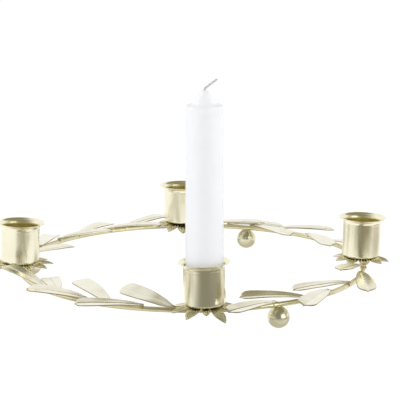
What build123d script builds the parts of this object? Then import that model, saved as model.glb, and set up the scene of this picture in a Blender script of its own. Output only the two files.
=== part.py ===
import os
from math import cos, degrees, radians, sin, tan

from build123d import *

os.makedirs("parts", exist_ok=True)

# hoop and feet
ring_radius = 107.0
wire_diameter = 3.0
foot_diameter = 12.8
foot_flat = 0.1
foot_groove = 0.4
foot_angles = {"front": -66, "back": 66, "left": 161}
solder_gap = 0.05

# cups
cup_outer_diameter = 23.8
cup_wall = 0.5
cup_height = 24.5
cup_floor = 0.6
cup_corner = 1.5
lip_radius = 3.0
lip_sweep = 84
cup_angles = {"right": 0, "back": 90, "left": 180, "front": 270}

# flower collars
sheet = 0.6
hub_radius = 7.0
petal_count = 10
petal_overlap = 1.0
petal_lift = 0.1
petal_reach = {"right": 17.5, "back": 17.5, "left": 20.0, "front": 20.0}
petal_turn = {"right": 18, "back": 0, "left": 0, "front": 0}
petal_width = 7.0
petal_widest = 6.4
petal_flank = 2.9
petal_flank_width = 5.4
petal_root_width = 4.4
petal_tip_slope = -0.9
petal_fold = 5
petal_arch_radius = 240.0
petal_droop = {"right": 3, "back": 20, "left": 3, "front": 20}
droop_at_hoop = 3
# extra droop of petals that were bent by hand, counted from the one that points out from the ring
petal_bend = {
    "right": {0: 15, 2: -1.5, 4: -1.5, 5: -1.5, 7: -1.5, 9: 6},
    "back": {},
    "left": {},
    "front": {0: -14, 1: 8, 9: 2},
}

# studs
seat_radius = 5.0
seat_thickness = 1.6
seat_skirt = 0.4
shank_radius = 1.5
shank_clearance = 0.1
head_radius = 3.0
head_height = 0.8
head_fillet = 0.36

# leaves
leaf_length = 38.0
leaf_width = 11.5
leaf_shoulder = 8.0
leaf_shoulder_width = 6.4
leaf_middle = 20.0
leaf_middle_width = 10.2
leaf_stem_width = 2.6
leaf_corner = 3.0
leaf_tip = 1.6
leaf_fold = 8
leaf_arch_radius = 200.0
leaf_lift = 0.35
saddle_length = 2.6
saddle_thickness = 0.5
blade_margin = 1.0

# candle
candle_base_diameter = 22.0
candle_top_diameter = 20.8
candle_length = 121.5
candle_cone_height = 8.5
candle_cone_radius = 6.8
candle_cone_shares = [(0.94, 0.2), (0.62, 0.62), (0.33, 0.93)]
candle_shoulder_round = 0.8
candle_ledge_rise = 0.4
candle_gap = 0.1
wick_diameter = 1.4
wick_gap = 0.05
wick_start = 0.5
wick_knee = 0.8
wick_bend = 2.0
wick_out = 6.0
wick_lean = 7.0

wire_radius = wire_diameter / 2
foot_radius = foot_diameter / 2
foot_height = foot_radius - foot_flat
wire_height = foot_height + foot_radius - foot_groove + wire_radius
wire_top = wire_height + wire_radius
collar_height = wire_top + seat_thickness
cup_base = collar_height + sheet
cup_radius = cup_outer_diameter / 2
bore_radius = cup_radius - cup_wall
floor_top = cup_base + cup_floor
head_top = floor_top + head_height
candle_base = head_top + candle_gap

# angle on the hoop, splay from it, rise of the tip, lift of the inner edge
leaves = {
    "front_right": {
        "inner": [(350.5, 21, 8.5, 0), (327, 33, 0, 3), (303.8, 30, 1.5, 6.5)],
        "outer": [(341, 16.5, -2.5, 0), (315, 16, 0.5, 11), (292.6, 19, 2.4, 7)],
    },
    "front_left": {
        "inner": [(260, 31, 7, 20), (240, 30, 7, 6), (218.5, 30, -2.5, 4)],
        "outer": [(250.5, 19, 2.5, 8), (230.5, 12, 2.5, 6), (210, 8, 7.5, 0)],
    },
    "back_left": {
        "inner": [(167, 38, -1, 0), (141, 28, 2, 0), (119.5, 25, 2, 0)],
        "outer": [(153, 16, -3, 0), (131, 15, -1, 0), (111, 19, 2, 0)],
    },
    "back_right": {
        "inner": [(80, 0, 1.4, 0), (63.7, 27, 0.4, 0), (40, 25, 1, 0)],
        "outer": [(72.5, 21, -4.5, 0), (53.5, 30, -1, 0), (27, 17, 2, 0)],
    },
}


def on_hoop(angle, height):
    spot = (ring_radius * cos(radians(angle)), ring_radius * sin(radians(angle)), height)
    return Location(spot, (0, 0, angle))


# folded sheet cut to an outline: root at the origin, tip along +X, crease along the middle
def blade_shape(outline, length, width, fold, arch_radius):
    edge = width / 2 + blade_margin
    rise = edge * tan(radians(fold))
    with BuildPart() as blade:
        with BuildSketch(Plane.YZ):
            with BuildLine():
                Polyline(
                    (-edge, rise - sheet / 2),
                    (0, -sheet / 2),
                    (edge, rise - sheet / 2),
                    (edge, rise + sheet / 2),
                    (0, sheet / 2),
                    (-edge, rise + sheet / 2),
                    close=True,
                )
            make_face()
        bend_axis = Axis((0, 0, -arch_radius), (0, 1, 0))
        revolve(axis=bend_axis, revolution_arc=degrees((length + blade_margin) / arch_radius))
        extrude(outline, amount=length, both=True, mode=Mode.INTERSECT)
    return blade.part


with BuildPart() as ring_hoop:
    with Locations((0, 0, wire_height)):
        Torus(ring_radius, wire_radius)
ring_hoop.part.label = "ring_hoop"
export_step(ring_hoop.part, "parts/ring_hoop.step")

for place, angle in foot_angles.items():
    with BuildPart() as ball_foot:
        with Locations(on_hoop(angle, foot_height)):
            Sphere(foot_radius)
        with Locations(on_hoop(angle, -foot_radius)):
            Box(foot_diameter, foot_diameter, foot_diameter, mode=Mode.SUBTRACT)
        with Locations((0, 0, wire_height)):
            Torus(ring_radius, wire_radius + solder_gap, mode=Mode.SUBTRACT)
    ball_foot.part.label = f"ball_foot_{place}"
    export_step(ball_foot.part, f"parts/ball_foot_{place}.step")

petal_start = hub_radius - petal_overlap


def petal_shape(length):
    with BuildSketch() as outline:
        with BuildLine():
            petal_side = Spline(
                (0, petal_root_width / 2),
                (petal_flank, petal_flank_width / 2),
                (petal_widest, petal_width / 2),
                tangents=((1, 0), (1, 0)),
            )
            Spline(petal_side @ 1, (length, 0), tangents=((1, 0), (1, petal_tip_slope)))
            Line((0, 0), petal_side @ 0)
            mirror(about=Plane.XZ)
        make_face()
    return blade_shape(outline.sketch, length, petal_width, petal_fold, petal_arch_radius)


for place, angle in cup_angles.items():
    centre = on_hoop(angle, 0)

    with BuildPart() as cup_stud:
        with Locations(centre * Pos(0, 0, wire_top - seat_skirt)):
            Cylinder(seat_radius, seat_thickness + seat_skirt, align=(Align.CENTER, Align.CENTER, Align.MIN))
        with Locations(centre * Pos(0, 0, collar_height)):
            Cylinder(shank_radius, sheet + cup_floor, align=(Align.CENTER, Align.CENTER, Align.MIN))
        with Locations(centre * Pos(0, 0, floor_top)):
            Cylinder(head_radius, head_height, align=(Align.CENTER, Align.CENTER, Align.MIN))
        fillet(cup_stud.faces().sort_by(Axis.Z)[-1].edges(), head_fillet)
        with Locations((0, 0, wire_height)):
            Torus(ring_radius, wire_radius + solder_gap, mode=Mode.SUBTRACT)
    cup_stud.part.label = f"cup_stud_{place}"
    export_step(cup_stud.part, f"parts/cup_stud_{place}.step")

    petal = petal_shape(petal_reach[place] - petal_start)
    with BuildPart() as petal_collar:
        with Locations(centre * Pos(0, 0, collar_height)):
            Cylinder(hub_radius, sheet, align=(Align.CENTER, Align.CENTER, Align.MIN))
        for number in range(petal_count):
            turn = petal_turn[place] + 360 * number / petal_count
            droop = droop_at_hoop + (petal_droop[place] - droop_at_hoop) * abs(cos(radians(turn)))
            droop += petal_bend[place].get(number, 0)
            spot = Pos(petal_start, 0, collar_height + petal_lift)
            with Locations(centre * Rot(0, 0, turn) * spot * Rot(0, droop, 0)):
                add(petal)
        with Locations(centre * Pos(0, 0, collar_height)):
            Hole(shank_radius + shank_clearance)
    petal_collar.part.label = f"petal_collar_{place}"
    export_step(petal_collar.part, f"parts/petal_collar_{place}.step")

    lip_start = cup_height - lip_radius * sin(radians(lip_sweep))
    lip_centre = cup_radius + lip_radius
    lip_cos = cos(radians(lip_sweep))
    lip_sin = sin(radians(lip_sweep))
    half_cos = cos(radians(lip_sweep / 2))
    half_sin = sin(radians(lip_sweep / 2))
    outer_lip = lip_radius
    inner_lip = lip_radius + cup_wall
    edge_lip = lip_radius + cup_wall / 2
    edge_turn = radians(lip_sweep) + cup_wall / 2 / edge_lip
    inner_corner = cup_corner - cup_wall
    with BuildPart() as candle_cup:
        with BuildSketch(Plane.XZ):
            with BuildLine():
                Line((0, 0), (cup_radius - cup_corner, 0))
                RadiusArc((cup_radius - cup_corner, 0), (cup_radius, cup_corner), -cup_corner)
                Line((cup_radius, cup_corner), (cup_radius, lip_start))
                ThreePointArc(
                    (cup_radius, lip_start),
                    (lip_centre - outer_lip * half_cos, lip_start + outer_lip * half_sin),
                    (lip_centre - outer_lip * lip_cos, lip_start + outer_lip * lip_sin),
                )
                ThreePointArc(
                    (lip_centre - outer_lip * lip_cos, lip_start + outer_lip * lip_sin),
                    (lip_centre - edge_lip * cos(edge_turn), lip_start + edge_lip * sin(edge_turn)),
                    (lip_centre - inner_lip * lip_cos, lip_start + inner_lip * lip_sin),
                )
                ThreePointArc(
                    (lip_centre - inner_lip * lip_cos, lip_start + inner_lip * lip_sin),
                    (lip_centre - inner_lip * half_cos, lip_start + inner_lip * half_sin),
                    (bore_radius, lip_start),
                )
                Line((bore_radius, lip_start), (bore_radius, cup_floor + inner_corner))
                RadiusArc(
                    (bore_radius, cup_floor + inner_corner),
                    (bore_radius - inner_corner, cup_floor),
                    inner_corner,
                )
                Line((bore_radius - inner_corner, cup_floor), (0, cup_floor))
                Line((0, cup_floor), (0, 0))
            make_face()
        revolve(axis=Axis.Z)
        Hole(shank_radius + shank_clearance)
    candle_cup.part.label = f"candle_cup_{place}"
    candle_cup.part.locate(centre * Pos(0, 0, cup_base))
    export_step(candle_cup.part, f"parts/candle_cup_{place}.step")

leaf_reach = leaf_length + saddle_length / 2
with BuildSketch() as leaf_outline:
    with BuildLine():
        leaf_side = Spline(
            (0, leaf_stem_width / 2),
            (leaf_shoulder, leaf_shoulder_width / 2),
            (leaf_middle, leaf_middle_width / 2),
            (leaf_reach - leaf_tip - leaf_corner, leaf_width / 2),
            tangents=((1, 0), (1, 0)),
        )
        blunt = RadiusArc(
            leaf_side @ 1,
            (leaf_reach - leaf_tip, leaf_width / 2 - leaf_corner),
            leaf_corner,
        )
        Line(blunt @ 1, (leaf_reach, 0))
        Line((0, 0), leaf_side @ 0)
        mirror(about=Plane.XZ)
    make_face()
leaf_blade = blade_shape(leaf_outline.sketch, leaf_reach, leaf_width, leaf_fold, leaf_arch_radius)
half_arch = degrees(leaf_length / leaf_arch_radius) / 2
saddle_radius = wire_radius + solder_gap + saddle_thickness

for quarter, sides in leaves.items():
    for side, rows in sides.items():
        for number, (angle, splay, rise, tilt) in enumerate(rows, 1):
            turn = -splay if side == "inner" else splay
            spot = on_hoop(angle, wire_height) * Rot(0, 0, -90)
            root = Pos(0, 0, wire_radius + solder_gap + leaf_lift) * Rot(0, 0, turn)
            root = root * Rot(0, -rise - half_arch, 0) * Rot(-tilt, 0, 0) * Pos(-saddle_length / 2, 0, 0)
            with BuildPart() as leaf:
                with Locations(spot):
                    Cylinder(saddle_radius, saddle_length, rotation=(0, 90, 0))
                split(bisect_by=Plane.XY.offset(wire_height), keep=Keep.TOP)
                with Locations(spot * root):
                    add(leaf_blade)
                with Locations((0, 0, wire_height)):
                    Torus(ring_radius, wire_radius + solder_gap, mode=Mode.SUBTRACT)
            leaf.part.label = f"leaf_{quarter}_{side}_{number}"
            export_step(leaf.part, f"parts/leaf_{quarter}_{side}_{number}.step")

candle_spot = on_hoop(cup_angles["front"], candle_base)
shoulder = candle_length - candle_cone_height
base_radius = candle_base_diameter / 2
top_radius = candle_top_diameter / 2
wick_hole = wick_diameter / 2 + wick_gap
with BuildPart() as candle_wax:
    with BuildSketch(Plane.XZ):
        with BuildLine():
            Line((wick_hole, 0), (base_radius, 0))
            body = Line((base_radius, 0), (top_radius, shoulder - candle_shoulder_round))
            rim = RadiusArc(body @ 1, (top_radius - candle_shoulder_round, shoulder), -candle_shoulder_round)
            ledge = Line(rim @ 1, (candle_cone_radius + candle_ledge_rise, shoulder + candle_ledge_rise))
            cone = Spline(
                ledge @ 1,
                *[
                    (candle_cone_radius * out, shoulder + candle_cone_height * up)
                    for out, up in candle_cone_shares
                ],
                (wick_hole, candle_length),
            )
            Line(cone @ 1, (wick_hole, 0))
        make_face()
    revolve(axis=Axis.Z)
candle_wax.part.label = "candle_wax"
candle_wax.part.locate(candle_spot * Rot(0, 0, 90))
export_step(candle_wax.part, "parts/candle_wax.step")

with BuildPart() as candle_wick:
    with BuildLine() as wick_path:
        FilletPolyline(
            (0, 0, wick_start),
            (0, 0, candle_length + wick_knee),
            (wick_lean, 0, candle_length + wick_out),
            radius=wick_bend,
        )
    with BuildSketch(Plane.XY.offset(wick_start)):
        Circle(wick_diameter / 2)
    sweep(path=wick_path.wire())
candle_wick.part.label = "candle_wick"
candle_wick.part.locate(candle_spot * Rot(0, 0, 90))
export_step(candle_wick.part, "parts/candle_wick.step")
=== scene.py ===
import bpy
import math
from mathutils import Matrix, Vector, noise


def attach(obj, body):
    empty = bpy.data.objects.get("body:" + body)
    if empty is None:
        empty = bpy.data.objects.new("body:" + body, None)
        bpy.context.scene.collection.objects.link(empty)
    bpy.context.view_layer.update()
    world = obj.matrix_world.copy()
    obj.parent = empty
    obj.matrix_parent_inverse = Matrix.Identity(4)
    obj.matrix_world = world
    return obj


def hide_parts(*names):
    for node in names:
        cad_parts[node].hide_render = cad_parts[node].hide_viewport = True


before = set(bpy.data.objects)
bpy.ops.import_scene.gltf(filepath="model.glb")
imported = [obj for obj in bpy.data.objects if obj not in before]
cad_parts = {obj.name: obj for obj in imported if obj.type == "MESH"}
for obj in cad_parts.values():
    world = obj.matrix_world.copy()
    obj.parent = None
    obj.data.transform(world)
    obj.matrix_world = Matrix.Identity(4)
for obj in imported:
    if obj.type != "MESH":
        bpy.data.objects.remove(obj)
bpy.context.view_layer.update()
mm = 0.001
print("frame loaded with", len(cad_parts), "nodes")


# hoop sizes in millimetres, the same as the solids
hoop = {
    "radius": 107.0,
    "wire": 3.0,
    "height": 13.8,
    "aroundSteps": 420,
    "wireSteps": 20,
    "wander": 0.12,  # hand-bent waviness
    "wanderPace": 9,  # higher gives more waves on the way round
    "wanderRise": 0.5,  # share of the waviness that goes up and down
    "wanderSeeds": (3.1, 8.4),
    "grainWrap": 3,  # spread of the drawn lines round the wire
}
wireRadius = hoop["wire"] / 2
cupAngles = {"right": 0, "back": 90, "left": 180, "front": 270}
sheetApart = 10.0  # keeps the grain of two sheets from being the same
sheetEdge = {"width": 0.1, "segments": 2, "angle": 50}


def turnX(degrees):
    return Matrix.Rotation(math.radians(degrees), 4, "X")


def turnY(degrees):
    return Matrix.Rotation(math.radians(degrees), 4, "Y")


def turnZ(degrees):
    return Matrix.Rotation(math.radians(degrees), 4, "Z")


def moveBy(x, y, z):
    return Matrix.Translation((x, y, z))


def onHoop(angle, height):
    return turnZ(angle) @ moveBy(hoop["radius"], 0, height)


def ripple(x, y, seed):  # smooth unevenness, about -1 to 1
    return noise.noise(Vector((x, y, seed)))


def roundRipple(turn, height, around, up, seed):  # the same on a turned piece
    return ripple(around * math.cos(turn), around * math.sin(turn) + up * height, seed)


def smoothStep(share):
    return share * share * (3 - 2 * share)


def arcPoints(centre, radius, start, end, steps):
    points = []
    for step in range(steps + 1):
        angle = math.radians(start + (end - start) * step / steps)
        points.append((centre[0] + radius * math.cos(angle), centre[1] + radius * math.sin(angle)))
    return points


class PieceShape:
    def __init__(self):
        self.points = []
        self.faces = []
        self.places = []  # where a point lies on its sheet, for the grain

    def add(self, points, faces, place=Matrix.Identity(4), places=None):
        base = len(self.points)
        self.points += [place @ Vector(p) for p in points]
        self.faces += [tuple(base + corner for corner in face) for face in faces]
        self.places += places or [(0.0, 0.0, 0.0)] * len(points)

    def build(self, name):
        mesh = bpy.data.meshes.new(name)
        mesh.from_pydata([p * mm for p in self.points], [], self.faces)
        layer = mesh.attributes.new("sheetPlace", "FLOAT_VECTOR", "POINT")
        layer.data.foreach_set("vector", [value for place in self.places for value in place])
        mesh.polygons.foreach_set("use_smooth", [True] * len(mesh.polygons))
        mesh.update()
        piece = bpy.data.objects.new(name, mesh)
        bpy.context.scene.collection.objects.link(piece)
        return piece


def gridFaces(rows, columns, closeRows=False, closeColumns=False):
    wide = columns if closeColumns else columns + 1
    tall = rows if closeRows else rows + 1
    faces = []
    for i in range(rows):
        for j in range(columns):
            iNext = (i + 1) % tall
            jNext = (j + 1) % wide
            faces.append((i * wide + j, iNext * wide + j, iNext * wide + jNext, i * wide + jNext))
    return faces


def lathe(profile, steps, uneven=None):  # closed outline of radius and height, turned about Z
    points = []
    for step in range(steps):
        angle = 2 * math.pi * step / steps
        for radius, height in profile:
            grown = radius + (uneven(angle, radius, height) if uneven else 0.0)
            points.append((grown * math.cos(angle), grown * math.sin(angle), height))
    return points, gridFaces(steps, len(profile), closeRows=True, closeColumns=True)


def dress(piece, material, body, slot, *nodes):
    piece.data.materials.append(material)
    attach(piece, body)
    if nodes:
        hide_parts(*nodes)


def thicken(piece, thickness):  # sheet metal with a softened cut edge, painted darker as shade
    piece.data.materials.append(edgeShadeBrass)
    solid = piece.modifiers.new("sheetThickness", "SOLIDIFY")
    solid.thickness = thickness * mm
    solid.offset = 0.0
    solid.material_offset_rim = 1
    soft = piece.modifiers.new("softEdge", "BEVEL")
    soft.width = sheetEdge["width"] * mm
    soft.segments = sheetEdge["segments"]
    soft.limit_method = "ANGLE"
    soft.angle_limit = math.radians(sheetEdge["angle"])


# shader node groups
def newGroup(name, inputs, outputs):
    group = bpy.data.node_groups.new(name, "ShaderNodeTree")
    for label, kind, value in inputs:
        socket = group.interface.new_socket(label, in_out="INPUT", socket_type=kind)
        if value is not None:
            socket.default_value = value
    for label, kind in outputs:
        group.interface.new_socket(label, in_out="OUTPUT", socket_type=kind)
    entry = group.nodes.new("NodeGroupInput")
    leave = group.nodes.new("NodeGroupOutput")
    return group, entry, leave


def addMath(tree, operation, first, second):
    node = tree.nodes.new("ShaderNodeMath")
    node.operation = operation
    for socket, value in zip(node.inputs, (first, second)):
        if isinstance(value, (int, float)):
            socket.default_value = value
        else:
            tree.links.new(value, socket)
    return node.outputs[0]


def cloudToneGroup():  # a clean colour with cloudy darker patches
    group, entry, leave = newGroup(
        "cloudTone",
        [
            ("Vector", "NodeSocketVector", None),
            ("Clean", "NodeSocketColor", (0.8, 0.75, 0.55, 1)),
            ("Dull", "NodeSocketColor", (0.6, 0.52, 0.3, 1)),
            ("Scale", "NodeSocketFloat", 60.0),
            ("Amount", "NodeSocketFloat", 0.5),
        ],
        [("Color", "NodeSocketColor"), ("Dullness", "NodeSocketFloat")],
    )
    cloud = group.nodes.new("ShaderNodeTexNoise")
    cloud.inputs["Detail"].default_value = 5.0
    cloud.inputs["Roughness"].default_value = 0.6
    spread = group.nodes.new("ShaderNodeMapRange")
    spread.inputs["From Min"].default_value = 0.42
    spread.inputs["From Max"].default_value = 0.72
    mix = group.nodes.new("ShaderNodeMix")
    mix.data_type = "RGBA"
    link = group.links.new
    link(entry.outputs["Vector"], cloud.inputs["Vector"])
    link(entry.outputs["Scale"], cloud.inputs["Scale"])
    link(cloud.outputs["Fac"], spread.inputs["Value"])
    dullness = addMath(group, "MULTIPLY", spread.outputs["Result"], entry.outputs["Amount"])
    link(dullness, mix.inputs["Factor"])
    link(entry.outputs["Clean"], mix.inputs["A"])
    link(entry.outputs["Dull"], mix.inputs["B"])
    link(mix.outputs["Result"], leave.inputs["Color"])
    link(dullness, leave.inputs["Dullness"])
    return group


def grainGroup():  # fine lines, stretched along the short components of Stretch
    group, entry, leave = newGroup(
        "grainLines",
        [
            ("Vector", "NodeSocketVector", None),
            ("Stretch", "NodeSocketVector", (1, 1, 1)),
            ("Scale", "NodeSocketFloat", 1000.0),
        ],
        [("Height", "NodeSocketFloat")],
    )
    shape = group.nodes.new("ShaderNodeVectorMath")
    shape.operation = "MULTIPLY"
    lines = group.nodes.new("ShaderNodeTexNoise")
    lines.inputs["Detail"].default_value = 3.0
    link = group.links.new
    link(entry.outputs["Vector"], shape.inputs[0])
    link(entry.outputs["Stretch"], shape.inputs[1])
    link(shape.outputs["Vector"], lines.inputs["Vector"])
    link(entry.outputs["Scale"], lines.inputs["Scale"])
    link(lines.outputs["Fac"], leave.inputs["Height"])
    return group


cloudTone = cloudToneGroup()
grainLines = grainGroup()


def placeGroup(tree, group, **values):
    node = tree.nodes.new("ShaderNodeGroup")
    node.node_tree = group
    for label, value in values.items():
        node.inputs[label].default_value = value
    return node


def startMaterial(name):
    material = bpy.data.materials.new(name)
    material.use_nodes = True
    tree = material.node_tree
    return material, tree, tree.nodes["Principled BSDF"]


def objectPlace(tree):
    return tree.nodes.new("ShaderNodeTexCoord").outputs["Object"]


def sheetPlace(tree):
    node = tree.nodes.new("ShaderNodeAttribute")
    node.attribute_name = "sheetPlace"
    return node.outputs["Vector"]


def addBump(tree, shader, height, strength, distance):
    bump = tree.nodes.new("ShaderNodeBump")
    bump.inputs["Strength"].default_value = strength
    bump.inputs["Distance"].default_value = distance * mm
    tree.links.new(height, bump.inputs["Height"])
    tree.links.new(bump.outputs["Normal"], shader.inputs["Normal"])


def addRootScorchAndShade(tree, color, look):  # scorched metal round a soldered leaf root, and painted shade in the gap under each cup at the petal roots
    split = tree.nodes.new("ShaderNodeSeparateXYZ")
    near = tree.nodes.new("ShaderNodeMapRange")
    near.interpolation_type = "SMOOTHSTEP"
    near.inputs["From Min"].default_value = look["rootReach"]
    near.inputs["From Max"].default_value = 0.0
    near.inputs["To Max"].default_value = look["rootAmount"]
    mix = tree.nodes.new("ShaderNodeMix")
    mix.data_type = "RGBA"
    mix.inputs["B"].default_value = (*look["rootScorchAndShade"], 1)
    tree.links.new(sheetPlace(tree), split.inputs["Vector"])
    tree.links.new(split.outputs["X"], near.inputs["Value"])
    tree.links.new(near.outputs["Result"], mix.inputs["Factor"])
    tree.links.new(color, mix.inputs["A"])
    return mix.outputs["Result"]


def brassMaterial(name, look):
    material, tree, shader = startMaterial(name)
    where = sheetPlace(tree) if look["onSheet"] else objectPlace(tree)
    tone = placeGroup(
        tree,
        cloudTone,
        Clean=(*look["clean"], 1),
        Dull=(*look["dull"], 1),
        Scale=look["patchScale"],
        Amount=look["patchAmount"],
    )
    grain = placeGroup(tree, grainLines, Stretch=look["grainStretch"], Scale=look["grainScale"])
    tree.links.new(objectPlace(tree), tone.inputs["Vector"])
    tree.links.new(where, grain.inputs["Vector"])
    color = tone.outputs["Color"]
    if "rootScorchAndShade" in look:
        color = addRootScorchAndShade(tree, color, look)
    tree.links.new(color, shader.inputs["Base Color"])
    rough = addMath(tree, "MULTIPLY_ADD", tone.outputs["Dullness"], look["roughSpread"])
    rough.node.inputs[2].default_value = look["roughness"]
    tree.links.new(rough, shader.inputs["Roughness"])
    shader.inputs["Metallic"].default_value = 1.0
    addBump(tree, shader, grain.outputs["Height"], look["grainStrength"], look["grainDepth"])
    return material


cupBrassLook = {
    "clean": (0.935, 0.9, 0.705),
    "dull": (0.855, 0.805, 0.555),
    "patchScale": 90.0,
    "patchAmount": 0.45,
    "roughness": 0.2,
    "roughSpread": 0.12,
    "onSheet": False,
    "grainStretch": (0.06, 0.06, 1.0),  # rings left by spinning
    "grainScale": 4200.0,
    "grainStrength": 0.45,
    "grainDepth": 0.05,
}
# deeper gold painted on the inside, standing in for light bounced between the cup's walls
cupInsidePaintedBounceLook = {
    **cupBrassLook,
    "clean": (0.95, 0.86, 0.45),
    "dull": (0.82, 0.72, 0.33),
    "roughness": 0.34,
}
leafBrassLook = {
    "clean": (0.92, 0.893, 0.762),
    "dull": (0.85, 0.815, 0.65),
    "patchScale": 110.0,
    "patchAmount": 0.5,
    "roughness": 0.25,
    "roughSpread": 0.1,
    "onSheet": True,
    "grainStretch": (0.07, 1.0, 1.0),  # lines along the leaf
    "grainScale": 2.2,
    "grainStrength": 0.04,
    "grainDepth": 0.06,
    "rootScorchAndShade": (0.3, 0.24, 0.11),
    "rootReach": 3.5,
    "rootAmount": 0.65,
}
# the cut edge is painted darker as shade along the sheets' lower edges
edgeShadeBrassLook = {
    **leafBrassLook,
    "clean": (0.56, 0.49, 0.31),
    "dull": (0.4, 0.33, 0.18),
    "roughness": 0.26,
}
petalBrassLook = {
    **leafBrassLook,
    "clean": (0.92, 0.88, 0.66),
    "dull": (0.74, 0.665, 0.41),
    "patchAmount": 0.4,
    # the petals' darker root is painted shade in the gap under the cup
    "rootScorchAndShade": (0.13, 0.1, 0.045),
    "rootReach": 6.0,
    "rootAmount": 0.92,
}
wireBrassLook = {
    "clean": (0.84, 0.79, 0.53),
    "dull": (0.62, 0.542, 0.27),
    "patchScale": 140.0,
    "patchAmount": 0.5,
    "roughness": 0.28,
    "roughSpread": 0.15,
    "onSheet": True,
    "grainStretch": (0.05, 1.0, 1.0),
    "grainScale": 4.0,
    "grainStrength": 0.06,
    "grainDepth": 0.04,
}
footBrassLook = {
    "clean": (0.82, 0.785, 0.585),
    "dull": (0.72, 0.665, 0.43),
    "patchScale": 130.0,
    "patchAmount": 0.35,
    "roughness": 0.25,
    "roughSpread": 0.1,
    "onSheet": False,
    "grainStretch": (1.0, 1.0, 1.0),
    "grainScale": 900.0,
    "grainStrength": 0.04,
    "grainDepth": 0.05,
}
waxLook = {
    "body": (0.87, 0.878, 0.9),
    "cloud": (0.82, 0.832, 0.862),
    "cloudScale": 70.0,
    "cloudAmount": 0.5,
    "roughness": 0.42,
    "glow": 0.25,  # light that passes through
    "grainStretch": (1.0, 1.0, 0.5),  # small pits
    "grainScale": 700.0,
    "grainStrength": 0.25,
    "grainDepth": 0.08,
}
wickLook = {
    "body": (0.66, 0.65, 0.63),
    "cloud": (0.42, 0.41, 0.4),
    "cloudScale": 900.0,
    "cloudAmount": 0.8,
    "roughness": 0.85,
    "glow": 0.0,
    "grainStretch": (1.0, 1.0, 0.4),  # fibres
    "grainScale": 6000.0,
    "grainStrength": 0.5,
    "grainDepth": 0.1,
}
glowReach = 4.0  # millimetres


def candleMaterial(name, look):
    material, tree, shader = startMaterial(name)
    tone = placeGroup(
        tree,
        cloudTone,
        Clean=(*look["body"], 1),
        Dull=(*look["cloud"], 1),
        Scale=look["cloudScale"],
        Amount=look["cloudAmount"],
    )
    grain = placeGroup(tree, grainLines, Stretch=look["grainStretch"], Scale=look["grainScale"])
    where = objectPlace(tree)
    tree.links.new(where, tone.inputs["Vector"])
    tree.links.new(where, grain.inputs["Vector"])
    tree.links.new(tone.outputs["Color"], shader.inputs["Base Color"])
    shader.inputs["Roughness"].default_value = look["roughness"]
    shader.inputs["Subsurface Weight"].default_value = look["glow"]
    shader.inputs["Subsurface Radius"].default_value = (glowReach * mm,) * 3
    addBump(tree, shader, grain.outputs["Height"], look["grainStrength"], look["grainDepth"])
    return material


cupBrass = brassMaterial("spunCupBrass", cupBrassLook)
cupInsidePaintedBounce = brassMaterial("spunCupInsidePaintedBounce", cupInsidePaintedBounceLook)
leafBrass = brassMaterial("pressedLeafBrass", leafBrassLook)
edgeShadeBrass = brassMaterial("edgeShadeSheetBrass", edgeShadeBrassLook)
petalBrass = brassMaterial("pressedPetalBrass", petalBrassLook)
wireBrass = brassMaterial("drawnWireBrass", wireBrassLook)
footBrass = brassMaterial("polishedFootBrass", footBrassLook)
candleWax = candleMaterial("candleWax", waxLook)
wickCotton = candleMaterial("wickCotton", wickLook)
print("materials made")


def makeHoop():
    shape = PieceShape()
    rows = hoop["aroundSteps"]
    columns = hoop["wireSteps"]
    pace = hoop["wanderPace"]
    wrap = hoop["grainWrap"]
    outSeed, upSeed = hoop["wanderSeeds"]
    rise = hoop["wanderRise"] * hoop["wander"]
    points = []
    places = []
    for i in range(rows):
        angle = 2 * math.pi * i / rows
        reach = hoop["radius"] + hoop["wander"] * roundRipple(angle, 0, pace, 0, outSeed)
        lift = hoop["height"] + rise * roundRipple(angle, 0, pace, 0, upSeed)
        for j in range(columns):
            turn = 2 * math.pi * j / columns
            radius = reach + wireRadius * math.cos(turn)
            height = lift - wireRadius * math.sin(turn)
            points.append((radius * math.cos(angle), radius * math.sin(angle), height))
            places.append((angle * hoop["radius"], wrap * math.cos(turn), wrap * math.sin(turn)))
    shape.add(points, gridFaces(rows, columns, closeRows=True, closeColumns=True), places=places)
    dress(shape.build("hoopWire"), wireBrass, "ring", "wire_brass", "ring_hoop")


foot = {
    "diameter": 12.8,
    "height": 6.3,
    "angles": {"front": -66, "back": 66, "left": 161},
    "ballEnd": 62,  # where the ball runs into the solder, in degrees
    "solderLow": (2.028, 0.55),  # radius, and height over the ball's end
    "solderHigh": (1.612, 0.5),  # radius, and height over the underside of the wire
    "solderTop": 0.6,  # depth under the middle of the wire
    "middle": 0.001,  # radius of the tiny hole on the axis
    "rows": 48,
    "steps": 72,
}


def makeFeet():
    radius = foot["diameter"] / 2
    lowest = -math.degrees(math.asin(foot["height"] / radius))
    for place, angle in foot["angles"].items():
        ball = arcPoints((0, foot["height"]), radius, lowest, foot["ballEnd"], foot["rows"])
        lowRadius, lowRise = foot["solderLow"]
        highRadius, highRise = foot["solderHigh"]
        solder = [
            (lowRadius, ball[-1][1] + lowRise),
            (highRadius, hoop["height"] - wireRadius + highRise),
            (foot["middle"], hoop["height"] - foot["solderTop"]),
        ]
        profile = [(foot["middle"], 0.0)] + ball + solder
        points, faces = lathe(profile, foot["steps"])
        shape = PieceShape()
        shape.add(points, faces, onHoop(angle, 0))
        dress(shape.build(f"ballFoot.{place}"), footBrass, "ring", "foot_brass", f"ball_foot_{place}")


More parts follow.
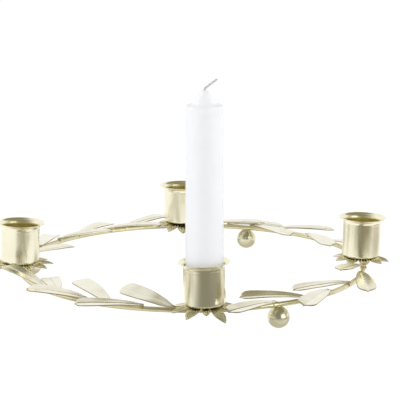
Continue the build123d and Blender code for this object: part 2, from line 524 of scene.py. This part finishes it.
cup = {
    "base": 17.5,
    "outer": 23.8,
    "wall": 0.5,
    "height": 24.5,
    "floor": 0.6,
    "corner": 1.5,
    "lipRadius": 3.0,
    "lipSweep": 84,
    "hole": 1.6,
    "bead": 0.04,  # small raised line under the lip
    "beadDrop": 0.9,
    "beadWidth": 0.35,
    "edgeSpan": (-150, -30),  # rounded edge of the lip, in degrees from where the lip ends
    "dent": 0.07,
    "dentPace": (1.6, 0.11),  # how fast the dents change on the way round and up
    "lean": {"right": 1.5, "back": 0.0, "left": 2.2, "front": -1.7},  # degrees towards +X
    "steps": 144,
    "cornerSteps": 8,
    "wallSteps": 40,
    "lipSteps": 16,
    "edgeSteps": 5,
    "insideLip": 5,  # steps of the lip that take the inside's painted deeper gold
    "floorSteps": 6,
}


def cupProfile():
    radius = cup["outer"] / 2
    bore = radius - cup["wall"]
    lipStart = cup["height"] - cup["lipRadius"] * math.sin(math.radians(cup["lipSweep"]))
    lipCentre = (radius + cup["lipRadius"], lipStart)
    inner = cup["corner"] - cup["wall"]
    lipEnd = 180 - cup["lipSweep"]
    profile = [(cup["hole"], 0.0)]
    cornerCentre = (radius - cup["corner"], cup["corner"])
    profile += arcPoints(cornerCentre, cup["corner"], -90, 0, cup["cornerSteps"])
    wallSteps = cup["wallSteps"]
    for step in range(1, wallSteps):
        height = cup["corner"] + (lipStart - cup["corner"]) * step / wallSteps
        fromBead = (height - lipStart + cup["beadDrop"]) / cup["beadWidth"]
        profile.append((radius + cup["bead"] * math.exp(-(fromBead ** 2)), height))
    profile += arcPoints(lipCentre, cup["lipRadius"], 180, lipEnd, cup["lipSteps"])
    edgeRadius = cup["wall"] / 2
    edgeTurn = math.radians(lipEnd)
    edgeReach = cup["lipRadius"] + edgeRadius
    edge = (lipCentre[0] + edgeReach * math.cos(edgeTurn), lipCentre[1] + edgeReach * math.sin(edgeTurn))
    edgeStart, edgeStop = cup["edgeSpan"]
    profile += arcPoints(edge, edgeRadius, lipEnd + edgeStart, lipEnd + edgeStop, cup["edgeSteps"])
    profile += arcPoints(lipCentre, cup["lipRadius"] + cup["wall"], lipEnd, 180, cup["lipSteps"])
    insideStart = len(profile) - cup["insideLip"]
    for step in range(1, wallSteps):
        height = lipStart + (cup["floor"] + inner - lipStart) * step / wallSteps
        profile.append((bore, height))
    profile += arcPoints((bore - inner, cup["floor"] + inner), inner, 0, -90, cup["floorSteps"])
    profile.append((cup["hole"], cup["floor"]))
    return profile, insideStart


def makeCups():
    profile, insideStart = cupProfile()
    for place, angle in cupAngles.items():
        def uneven(turn, radius, height):
            if radius < cup["outer"] / 2 - 2 * cup["wall"]:
                return 0.0
            return cup["dent"] * roundRipple(turn, height, *cup["dentPace"], angle)

        points, faces = lathe(profile, cup["steps"], uneven)
        shape = PieceShape()
        middle = onHoop(angle, cup["base"] + cup["height"] / 2).translation
        lean = Matrix.Translation(middle) @ turnY(cup["lean"][place]) @ Matrix.Translation(-middle)
        shape.add(points, faces, lean @ onHoop(angle, cup["base"]))
        piece = shape.build(f"candleCup.{place}")
        dress(piece, cupBrass, "ring", "cup_brass", f"candle_cup_{place}")
        piece.data.materials.append(cupInsidePaintedBounce)
        for face in piece.data.polygons:
            face.material_index = int(face.index % len(profile) >= insideStart)


petal = {
    "count": 10,
    "hub": 7.0,
    "hole": 1.6,
    "start": 6.0,
    "reach": {"right": 17.5, "back": 17.5, "left": 20.0, "front": 20.0},
    "turn": {"right": 18, "back": 0, "left": 0, "front": 0},
    "width": 7.0,
    "rootWidth": 4.4,
    "widest": 6.4,  # distance from the root
    "flank": 0.4,  # how straight the sides leave the root, 0 to 1
    "tipPower": 0.82,  # lower is blunter
    "tipHalf": 0.12,  # least half width
    "fold": 5,
    "foldRound": 0.4,
    "sheet": 0.6,
    "ribs": 2.0,  # ribs on each half
    "ribDepth": 0.42,
    "ribRoot": 3,  # higher starts the ribs closer to the root
    "ribEdge": 6,  # higher keeps the ribs up to the sides
    "ribTip": 4,  # higher keeps the ribs up to the tip
    "tipCurl": 0.7,
    "droop": {"right": 3, "back": 20, "left": 3, "front": 20},
    "droopAtHoop": 3,
    "bent": {  # petals bent by hand, in degrees
        "right": {0: 15, 2: -1.5, 4: -1.5, 5: -1.5, 7: -1.5, 9: 6},
        "front": {0: -14, 1: 8, 9: -3},
    },
    "stub": {"front": {0: (0.75, 0.65)}},  # petals cut short: share of length and width
    "loose": 2.0,  # how unevenly the petals are bent, in degrees
    "droopPace": (1.7, 5.0),  # step from petal to petal, and seed
    "twistPace": (2.3, 11.0),
    "height": 16.9,
    "lift": 0.1,  # petals over the underside of the hub
    "rows": 26,
    "columns": 24,
    "hubSteps": 48,
}


def foldHeight(y, degrees, rounding):  # rise of a sheet that is folded along its middle
    return math.tan(math.radians(degrees)) * (math.hypot(y, rounding) - rounding)


def petalPoint(length, slim, along, across):
    x = length * along
    widest = petal["widest"] / length
    if along < widest:
        share = along / widest
        swell = petal["flank"] * share + (1 - petal["flank"]) * smoothStep(share)
        width = petal["rootWidth"] + (petal["width"] - petal["rootWidth"]) * swell
    else:
        share = (along - widest) / (1 - widest)
        width = petal["width"] * max(1 - share * share, 0.0) ** petal["tipPower"]
    y = max(slim * width / 2, petal["tipHalf"]) * across
    z = foldHeight(y, petal["fold"], petal["foldRound"])
    rib = math.cos(2 * math.pi * petal["ribs"] * across) * (1 - across ** petal["ribEdge"])
    z += petal["ribDepth"] * rib * min(1.0, petal["ribRoot"] * along) * (1 - along ** petal["ribTip"])
    z -= petal["tipCurl"] * along ** 3
    return x, y, z


def makeCollars():
    rows = petal["rows"]
    columns = petal["columns"]
    droopStep, droopSeed = petal["droopPace"]
    twistStep, twistSeed = petal["twistPace"]
    for place, angle in cupAngles.items():
        shape = PieceShape()
        centre = onHoop(angle, 0)
        length = petal["reach"][place] - petal["start"]
        for number in range(petal["count"]):
            turn = petal["turn"][place] + 360 * number / petal["count"]
            toHoop = abs(math.cos(math.radians(turn)))
            droop = petal["droopAtHoop"] + (petal["droop"][place] - petal["droopAtHoop"]) * toHoop
            droop += petal["bent"].get(place, {}).get(number, 0)
            droop += petal["loose"] * toHoop * ripple(number * droopStep, angle, droopSeed)
            twist = 2 * petal["loose"] * ripple(number * twistStep, angle, twistSeed)
            spot = centre @ turnZ(turn) @ moveBy(petal["start"], 0, petal["height"] + petal["lift"])
            spot = spot @ turnY(droop) @ turnX(twist)
            cut, slim = petal["stub"].get(place, {}).get(number, (1.0, 1.0))
            flat = [
                petalPoint(cut * length, slim, i / rows, 2 * j / columns - 1)
                for i in range(rows + 1)
                for j in range(columns + 1)
            ]
            places = [(x, y, sheetApart * number) for x, y, z in flat]
            shape.add(flat, gridFaces(rows, columns), spot, places)
        flower = shape.build(f"petalCollar.{place}")
        dress(flower, petalBrass, "ring", "leaf_brass", f"petal_collar_{place}")
        thicken(flower, petal["sheet"])
        disc = PieceShape()
        low = petal["height"]
        high = petal["height"] + petal["sheet"]
        outline = [(petal["hole"], low), (petal["hub"], low), (petal["hub"], high), (petal["hole"], high)]
        points, faces = lathe(outline, petal["hubSteps"])
        disc.add(points, faces, centre)
        dress(disc.build(f"collarHub.{place}"), leafBrass, "ring", "leaf_brass")


leaf = {
    "length": 38.0,
    "width": 11.5,
    "shoulder": (8.0, 6.4),  # place along the leaf and width there
    "middle": (20.0, 10.2),
    "stemWidth": 2.6,
    "corner": 4.4,  # rounding of the blade's end
    "tip": 1.0,  # how far the point stands out of that end
    "fold": 8,
    "sharper": {("front_right", "inner", 3): 13},  # leaves folded more than the others
    "archRadius": 200.0,
    "sheet": 0.6,
    "saddleLength": 2.6,
    "saddleThickness": 0.5,
    "solderGap": 0.05,
    "lift": 0.35,
    "foldRound": 0.15,
    "crease": 0.16,  # depth of the pressed middle line
    "creaseWidth": 0.3,
    "creaseRoot": 5,  # higher starts the line closer to the root
    "wave": 0.35,  # hand-bent unevenness
    "wavePace": (0.07, 0.12),  # along and across, per millimetre
    "waveStart": 12,  # where the unevenness is full
    "waveSeed": 13.7,
    "ragged": 0.35,  # uneven ends of the wrap round the hoop
    "raggedPace": 2,
    "raggedSeed": 3.0,
    "rows": 44,
    "columns": 32,
    "crowding": 0.6,  # how much closer the columns are at the crease
    "saddleRows": 6,
    "saddleColumns": 18,
    "saddleGrain": -1.0,  # where the wrap lies along the grain of the sheet
}
# angle on the hoop, splay from it, rise of the tip, lift of the inner edge, in degrees
leafPlaces = {
    "front_right": {
        "inner": [(350.5, 21, 8.5, 0), (327, 33, 0, 3), (303.8, 30, 1.5, 6.5)],
        "outer": [(341, 16.5, -2.5, 0), (315, 16, 0.5, 11), (292.6, 19, 2.4, 7)],
    },
    "front_left": {
        "inner": [(260, 31, 7, 20), (240, 30, 7, 6), (218.5, 30, -2.5, 4)],
        "outer": [(250.5, 19, 2.5, 8), (230.5, 12, 2.5, 6), (210, 8, 7.5, 0)],
    },
    "back_left": {
        "inner": [(167, 38, -1, 0), (141, 28, 2, 0), (119.5, 25, 2, 0)],
        "outer": [(153, 16, -3, 0), (131, 15, -1, 0), (111, 19, 2, 0)],
    },
    "back_right": {
        "inner": [(80, 0, 1.4, 0), (63.7, 27, 0.4, 0), (40, 25, 1, 0)],
        "outer": [(72.5, 21, -4.5, 0), (53.5, 30, -1, 0), (27, 17, 2, 0)],
    },
}


def smoothCurve(knots, x):  # cubic through the knots, level at both ends
    slopes = [0.0]
    for before, after in zip(knots, knots[2:]):
        slopes.append((after[1] - before[1]) / (after[0] - before[0]))
    slopes.append(0.0)
    span = 0
    while span < len(knots) - 2 and x > knots[span + 1][0]:
        span += 1
    low, high = knots[span], knots[span + 1]
    wide = high[0] - low[0]
    t = min(max((x - low[0]) / wide, 0.0), 1.0)
    level = low[1] + (high[1] - low[1]) * smoothStep(t)
    return level + wide * t * (1 - t) * (slopes[span] * (1 - t) - slopes[span + 1] * t)


def leafEnd(y):  # where the blade stops, y out from its crease
    reach = leaf["length"] + leaf["saddleLength"] / 2
    flat = leaf["width"] / 2 - leaf["corner"]
    if y <= flat:
        return reach - leaf["tip"] * y / flat
    turned = min((y - flat) / leaf["corner"], 1.0)
    return reach - leaf["tip"] - leaf["corner"] * (1 - math.sqrt(1 - turned ** 2))


def leafPoint(along, across, fold, seed):
    sideEnd = leafEnd(leaf["width"] / 2)
    side = [(0.0, leaf["stemWidth"] / 2)]
    side += [(place, width / 2) for place, width in (leaf["shoulder"], leaf["middle"])]
    side.append((sideEnd, leaf["width"] / 2))
    x = along * leafEnd(abs(across) * leaf["width"] / 2)
    y = across * smoothCurve(side, along * sideEnd)
    z = -x * x / (2 * leaf["archRadius"])
    z += foldHeight(y, fold, leaf["foldRound"])
    line = math.exp(-((y / leaf["creaseWidth"]) ** 2))
    z -= leaf["crease"] * line * min(1.0, leaf["creaseRoot"] * along)
    alongPace, acrossPace = leaf["wavePace"]
    z += leaf["wave"] * ripple(alongPace * x, acrossPace * y, seed) * min(1.0, x / leaf["waveStart"])
    return x, y, z


def saddlePoints(radius, seed):  # stem wrapped over the upper half of the wire
    pace = leaf["raggedPace"]
    points = []
    for i in range(leaf["saddleRows"] + 1):
        for j in range(leaf["saddleColumns"] + 1):
            swing = math.pi * j / leaf["saddleColumns"]
            longer = leaf["ragged"] * roundRipple(swing, 0, pace, 0, seed)
            x = (i / leaf["saddleRows"] - 0.5) * (leaf["saddleLength"] + longer)
            points.append((x, radius * math.cos(swing), radius * math.sin(swing)))
    return points


def makeLeaf(name, node, made, spot, root, fold):
    rows = leaf["rows"]
    columns = leaf["columns"]
    even = [2 * j / columns - 1 for j in range(columns + 1)]
    spread = [share * (1 - leaf["crowding"] + leaf["crowding"] * abs(share)) for share in even]
    seed = leaf["waveSeed"] * made
    blade = [leafPoint(i / rows, share, fold, seed) for i in range(rows + 1) for share in spread]
    bladePlaces = [(x, y, sheetApart * made) for x, y, z in blade]
    shape = PieceShape()
    shape.add(blade, gridFaces(rows, columns), spot @ root, bladePlaces)
    saddleRadius = wireRadius + leaf["solderGap"] + leaf["saddleThickness"] / 2
    saddle = saddlePoints(saddleRadius, leaf["raggedSeed"] * made)
    saddlePlaces = [(leaf["saddleGrain"], y, sheetApart * made + x) for x, y, z in saddle]
    shape.add(saddle, gridFaces(leaf["saddleRows"], leaf["saddleColumns"]), spot, saddlePlaces)
    piece = shape.build(name)
    dress(piece, leafBrass, "ring", "leaf_brass", node)
    thicken(piece, leaf["sheet"])
    saddleSlot = len(piece.data.materials)
    for material in (wireBrass, wireBrass):  # saddle and its edge
        piece.data.materials.append(material)
    for face in piece.data.polygons[rows * columns:]:
        face.material_index = saddleSlot


def makeLeaves():
    halfArch = math.degrees(leaf["length"] / leaf["archRadius"]) / 2
    upToBlade = wireRadius + leaf["solderGap"] + leaf["lift"]
    made = 0
    for quarter, sides in leafPlaces.items():
        for side, spots in sides.items():
            for number, (angle, splay, rise, tilt) in enumerate(spots, 1):
                made += 1
                turn = -splay if side == "inner" else splay
                spot = onHoop(angle, hoop["height"]) @ turnZ(-90)
                root = moveBy(0, 0, upToBlade) @ turnZ(turn)
                root = root @ turnY(-rise - halfArch) @ turnX(-tilt)
                root = root @ moveBy(-leaf["saddleLength"] / 2, 0, 0)
                fold = leaf["sharper"].get((quarter, side, number), leaf["fold"])
                name = f"leaf.{quarter}.{side}.{number}"
                makeLeaf(name, f"leaf_{quarter}_{side}_{number}", made, spot, root, fold)


candle = {
    "base": 19.0,
    "baseDiameter": 22.0,
    "topDiameter": 20.8,
    "length": 121.5,
    "baseRound": 0.4,
    "shoulderRound": 0.8,
    "shoulderStart": 15,  # degrees
    "coneHeight": 8.5,
    "coneRadius": 6.8,
    "coneFoot": [(0.9, 0.03), (0.3, 0.07)],  # distance out from the cone, share of its height
    # shares of the cone's radius and height
    "cone": [(0.94, 0.2), (0.8, 0.4), (0.62, 0.62), (0.47, 0.8), (0.33, 0.93), (0.2, 0.98)],
    "wickHole": 0.75,
    "uneven": 0.12,
    "stillRadius": 1.2,  # inside this the wax stays even
    "roughTop": 8,  # how far down from the shoulder the wax is rough
    "softWave": (1.2, 0.03, 2.0),  # how fast it changes on the way round and up, and seed
    "softAmount": 0.5,
    "roughWave": (3.4, 0.5, 6.0),
    "roughAmount": 1.8,
    "steps": 96,
    "bodySteps": 60,
    "roundSteps": 6,
}
wick = {
    "diameter": 1.4,
    "start": 0.5,
    "knee": 0.8,  # height of the bend over the tip of the wax
    "out": 6.0,  # height of the end over the tip of the wax
    "lean": 7.0,  # sideways reach of the end
    "bend": 2.0,  # radius of the bend
    "strands": 3,
    "strandRadius": 0.27,  # shares of the diameter
    "strandOffset": 0.24,
    "twist": 3.2,  # length of one turn
    "sides": 10,
    "upSteps": 60,
    "bendSteps": 8,
    "outSteps": 18,
}


def candleProfile():
    shoulder = candle["length"] - candle["coneHeight"]
    baseRadius = candle["baseDiameter"] / 2
    topRadius = candle["topDiameter"] / 2
    low = candle["baseRound"]
    soft = candle["shoulderRound"]
    profile = [(candle["wickHole"], 0.0), (baseRadius - low, 0.0), (baseRadius, low)]
    for step in range(1, candle["bodySteps"] + 1):
        share = step / candle["bodySteps"]
        radius = baseRadius + (topRadius - baseRadius) * share
        profile.append((radius, low + (shoulder - soft - low) * share))
    centre = (topRadius - soft, shoulder - soft)
    profile += arcPoints(centre, soft, candle["shoulderStart"], 90, candle["roundSteps"])
    knots = [(candle["coneRadius"] + out, share) for out, share in candle["coneFoot"]]
    knots += [(candle["coneRadius"] * wide, share) for wide, share in candle["cone"]]
    knots.append((candle["wickHole"], 1.0))
    profile += [(radius, shoulder + candle["coneHeight"] * share) for radius, share in knots]
    return profile


def makeCandle():
    shoulder = candle["length"] - candle["coneHeight"]

    def uneven(turn, radius, height):
        if radius < candle["stillRadius"]:
            return 0.0
        nearTop = max(0.0, min(1.0, (height - shoulder) / candle["roughTop"] + 1))
        soft = candle["softAmount"] * roundRipple(turn, height, *candle["softWave"])
        rough = candle["roughAmount"] * roundRipple(turn, height, *candle["roughWave"])
        return candle["uneven"] * (soft + nearTop * rough)

    points, faces = lathe(candleProfile(), candle["steps"], uneven)
    shape = PieceShape()
    shape.add(points, faces, onHoop(cupAngles["front"], candle["base"]) @ turnZ(90))
    dress(shape.build("candleBody"), candleWax, "candle", "wax", "candle_wax")


def wickPath():  # points up the candle, round the bend and out to the tip
    low = wick["start"]
    knee = candle["length"] + wick["knee"]
    end = (wick["lean"], candle["length"] + wick["out"])
    sweep = 90 - math.degrees(math.atan2(end[1] - knee, end[0]))
    bendStart = knee - wick["bend"] * math.tan(math.radians(sweep / 2))
    upSteps = wick["upSteps"]
    path = [(0.0, low + (bendStart - low) * step / upSteps) for step in range(upSteps + 1)]
    path += arcPoints((wick["bend"], bendStart), wick["bend"], 180, 180 - sweep, wick["bendSteps"])[1:]
    start = path[-1]
    for step in range(1, wick["outSteps"] + 1):
        share = step / wick["outSteps"]
        path.append((start[0] + (end[0] - start[0]) * share, start[1] + (end[1] - start[1]) * share))
    return path


def makeWick():
    path = wickPath()
    shape = PieceShape()
    strandRadius = wick["strandRadius"] * wick["diameter"]
    offset = wick["strandOffset"] * wick["diameter"]
    sides = wick["sides"]
    for strand in range(wick["strands"]):
        points = []
        run = 0.0
        for i, (x, z) in enumerate(path):
            before = path[max(i - 1, 0)]
            after = path[min(i + 1, len(path) - 1)]
            along = Vector((after[0] - before[0], 0, after[1] - before[1])).normalized()
            if i:
                run += math.hypot(x - before[0], z - before[1])
            sideways = Vector((0, 1, 0))
            upward = along.cross(sideways)
            turn = 2 * math.pi * (strand / wick["strands"] + run / wick["twist"])
            centre = Vector((x, 0, z)) + offset * (math.cos(turn) * sideways + math.sin(turn) * upward)
            for j in range(sides):
                swing = 2 * math.pi * j / sides
                outward = math.cos(swing) * sideways + math.sin(swing) * upward
                points.append(centre + strandRadius * outward)
        faces = gridFaces(len(path) - 1, sides, closeColumns=True)
        last = (len(path) - 1) * sides
        faces.append(tuple(range(sides)))
        faces.append(tuple(last + j for j in reversed(range(sides))))
        shape.add(points, faces, onHoop(cupAngles["front"], candle["base"]) @ turnZ(90))
    dress(shape.build("candleWick"), wickCotton, "candle", "wick", "candle_wick")


def dressStuds():
    for place in cupAngles:
        stud = bpy.data.objects[f"cup_stud_{place}"]
        stud.data.materials.clear()
        stud.data.materials.append(wireBrass)


makeHoop()
makeFeet()
makeCups()
makeCollars()
makeLeaves()
makeCandle()
makeWick()
dressStuds()


white = (1.0, 1.0, 1.0, 1.0)
studio = {
    "floorSize": 12.0,  # metres
    "floorDrop": 0.2,  # millimetres, clear of the feet
    "floorColor": (0.9, 0.9, 0.9, 1),
    "floorRoughness": 0.9,
    "floorGlow": 0.88,
    "floorWhite": 1.06,
    "softLight": 0.6,  # even light from the whole room
    "roomColor": (0.243, 0.236, 0.189, 1),  # unlit room behind the camera
    "roomSide": (0.2, -0.8, 0.56),
    "roomEdges": (-0.1, 0.9),
    "overheadColor": (0.28, 0.245, 0.11, 1),  # open top of the light tent
    "overheadSide": (0.3, 0.3, 0.906),
    "overheadEdges": (0.845, 0.885),
    "tableShadeColor": (0.2, 0.148, 0.043, 1),  # painted shade on the table, seen only in the metal
    "tableDepth": (-95, -165),  # where the table darkens towards the camera, in millimetres
    "tableLeft": (-0.9, -0.15),  # sideways per distance in front
    "tableRight": (1.6, 1.1),
    "underHoop": (5, 15, 0.5),  # inner and outer half width and depth of the shade under the hoop
    "spotFade": (0.5, 1.25),  # where the shades below start and end to fade, in half sizes
}
# painted shade on the table that only the metal sees: painted shadows under the cups, hoop and feet, and
# painted dark places for the cups' reflected bands; centre, half size in millimetres, depth
tableShades = {
    "right": ((105, -120), (46, 44), 0.88),
    "rightFront": ((190, -124), (80, 55), 0.88),
    "farRight": ((235, -20), (65, 95), 0.6),
    "left": ((-130, -139), (41, 40), 0.6),
    "leftNear": ((-113, -94), (34, 30), 1.0),
    "middle": ((-50, 18), (36, 26), 0.75),
    "frontFoot": ((37, -115), (26, 22), 0.3),
    "backFoot": ((44, 86), (18, 18), 0.3),
    "underFrontCup": ((0, -107), (26, 26), 0.8),
    "underRightCup": ((107, 0), (26, 26), 0.8),
    "underLeftCup": ((-107, 0), (26, 26), 0.8),
    "underBackCup": ((0, 107), (26, 26), 0.8),
}


def addMix(tree, factor, first, second):
    node = tree.nodes.new("ShaderNodeMix")
    node.data_type = "RGBA"
    tree.links.new(factor, node.inputs["Factor"])
    for label, value in (("A", first), ("B", second)):
        if isinstance(value, tuple):
            node.inputs[label].default_value = value
        else:
            tree.links.new(value, node.inputs[label])
    return node.outputs["Result"]


def addRange(tree, value, low, high, bottom, top):
    node = tree.nodes.new("ShaderNodeMapRange")
    node.interpolation_type = "SMOOTHSTEP"
    for label, number in (("From Min", low), ("From Max", high), ("To Min", bottom), ("To Max", top)):
        node.inputs[label].default_value = number
    tree.links.new(value, node.inputs["Value"])
    return node.outputs["Result"]


def addVectorMath(tree, operation, first, second=None):
    node = tree.nodes.new("ShaderNodeVectorMath")
    node.operation = operation
    tree.links.new(first, node.inputs[0])
    if second is not None:
        node.inputs[1].default_value = second
    return node.outputs


def addFrontShade(tree, place):  # how much of the room's shade lies on the table in front
    split = tree.nodes.new("ShaderNodeSeparateXYZ")
    tree.links.new(place, split.inputs["Vector"])
    lightEnd, darkStart = [edge * mm for edge in studio["tableDepth"]]
    shade = addRange(tree, split.outputs["Y"], lightEnd, darkStart, 0.0, 1.0)
    ahead = addMath(tree, "MAXIMUM", addMath(tree, "MULTIPLY", split.outputs["Y"], -1.0), mm)
    sideways = addMath(tree, "DIVIDE", split.outputs["X"], ahead)
    for edges in (studio["tableLeft"], studio["tableRight"]):
        shade = addMath(tree, "MULTIPLY", shade, addRange(tree, sideways, *edges, 0.0, 1.0))
    return shade


def addSpotShades(tree, place):  # under the hoop and at the places of tableShades
    fromMiddle = addVectorMath(tree, "LENGTH", place)["Value"]
    inner, outer, depth = studio["underHoop"]
    fromHoop = addMath(tree, "SUBTRACT", fromMiddle, hoop["radius"] * mm)
    besideHoop = addMath(tree, "ABSOLUTE", fromHoop, 0.0)
    shade = addRange(tree, besideHoop, inner * mm, outer * mm, depth, 0.0)
    for centre, half, depth in tableShades.values():
        offset = addVectorMath(tree, "SUBTRACT", place, (centre[0] * mm, centre[1] * mm, 0))["Vector"]
        fitted = addVectorMath(tree, "DIVIDE", offset, (half[0] * mm, half[1] * mm, 1))["Vector"]
        away = addVectorMath(tree, "LENGTH", fitted)["Value"]
        spot = addRange(tree, away, *studio["spotFade"], depth, 0.0)
        shade = addMath(tree, "MAXIMUM", shade, spot)
    return shade


def makeFloor():
    size = studio["floorSize"] / 2
    low = -studio["floorDrop"] * mm
    corners = [(-size, -size, low), (size, -size, low), (size, size, low), (-size, size, low)]
    mesh = bpy.data.meshes.new("studioFloor")
    mesh.from_pydata(corners, [], [(0, 1, 2, 3)])
    floor = bpy.data.objects.new("studioFloor", mesh)
    bpy.context.scene.collection.objects.link(floor)
    material, tree, shader = startMaterial("whiteFloor")
    shader.inputs["Base Color"].default_value = studio["floorColor"]
    shader.inputs["Roughness"].default_value = studio["floorRoughness"]
    rays = tree.nodes.new("ShaderNodeLightPath")
    place = tree.nodes.new("ShaderNodeNewGeometry").outputs["Position"]
    # the table as the metal mirrors it is painted: the room's shade in front, painted shadows and painted
    # dark places from tableShades
    mirrored = addMix(tree, addFrontShade(tree, place), white, studio["roomColor"])
    mirrored = addMix(tree, addSpotShades(tree, place), mirrored, studio["tableShadeColor"])
    glow = tree.nodes.new("ShaderNodeEmission")
    glow.inputs["Strength"].default_value = studio["floorWhite"]
    tree.links.new(addMix(tree, rays.outputs["Is Glossy Ray"], white, mirrored), glow.inputs["Color"])
    seen = addMath(tree, "MULTIPLY", rays.outputs["Is Camera Ray"], studio["floorGlow"])
    share = addMath(tree, "MAXIMUM", seen, rays.outputs["Is Glossy Ray"])
    mix = tree.nodes.new("ShaderNodeMixShader")
    tree.links.new(share, mix.inputs["Fac"])
    tree.links.new(shader.outputs["BSDF"], mix.inputs[1])
    tree.links.new(glow.outputs["Emission"], mix.inputs[2])
    tree.links.new(mix.outputs["Shader"], tree.nodes["Material Output"].inputs["Surface"])
    mesh.materials.append(material)


def makeWorld():
    world = bpy.data.worlds.new("studioWorld")
    bpy.context.scene.world = world
    world.use_nodes = True
    tree = world.node_tree
    sky = tree.nodes["Background"]
    direction = tree.nodes.new("ShaderNodeTexCoord").outputs["Generated"]
    room = white
    for part in ("overhead", "room"):
        towards = addVectorMath(tree, "DOT_PRODUCT", direction, studio[part + "Side"])["Value"]
        share = addRange(tree, towards, *studio[part + "Edges"], 0.0, 1.0)
        room = addMix(tree, share, room, studio[part + "Color"])
    rays = tree.nodes.new("ShaderNodeLightPath")
    soft = (studio["softLight"],) * 3 + (1.0,)
    light = addMix(tree, rays.outputs["Is Glossy Ray"], soft, room)
    light = addMix(tree, rays.outputs["Is Camera Ray"], light, white)
    tree.links.new(light, sky.inputs["Color"])


# place, aim and size in metres, power in watts, seen in the metal
lights = {
    "leftSoftbox": ((-1.3, 0.2, 0.6), (0, 0, 0.08), (1.0, 1.2), 9.0, False),
    "farSoftbox": ((1.3, 0.3, 0.6), (0, 0, 0.08), (1.0, 1.2), 7.5, False),
    "frontSoftbox": ((0.2, -1.5, 0.9), (0, 0, 0.08), (1.2, 0.8), 9.0, False),
    "rightSoftbox": ((0.88, -0.85, 0.28), (0, 0, 0.02), (0.9, 0.9), 4.5, True),
}


def makeLights():
    for name, (place, aim, size, power, seen) in lights.items():
        lamp = bpy.data.lights.new(name, "AREA")
        lamp.shape = "RECTANGLE"
        lamp.size, lamp.size_y = size
        lamp.energy = power
        holder = bpy.data.objects.new(name, lamp)
        holder.location = place
        holder.rotation_euler = (Vector(aim) - Vector(place)).to_track_quat("-Z", "Y").to_euler()
        holder.visible_glossy = seen
        holder.visible_diffuse = not seen
        bpy.context.scene.collection.objects.link(holder)


view = {
    "place": (-71.7, -1091.2, 291.4),  # millimetres
    "heading": -4.018,  # degrees
    "dip": 12.204,
    "sensor": 36.0,
    "lens": 161.66,
}


def makeCamera():
    lens = bpy.data.cameras.new("photoView")
    lens.sensor_width = view["sensor"]
    lens.lens = view["lens"]
    camera = bpy.data.objects.new("photoView", lens)
    camera.location = Vector(view["place"]) * mm
    camera.rotation_euler = (math.radians(90 - view["dip"]), 0, math.radians(view["heading"]))
    bpy.context.scene.collection.objects.link(camera)
    bpy.context.scene.camera = camera


makeFloor()
makeWorld()
makeLights()
makeCamera()
bpy.context.scene.view_settings.view_transform = "Standard"
print("studio set")
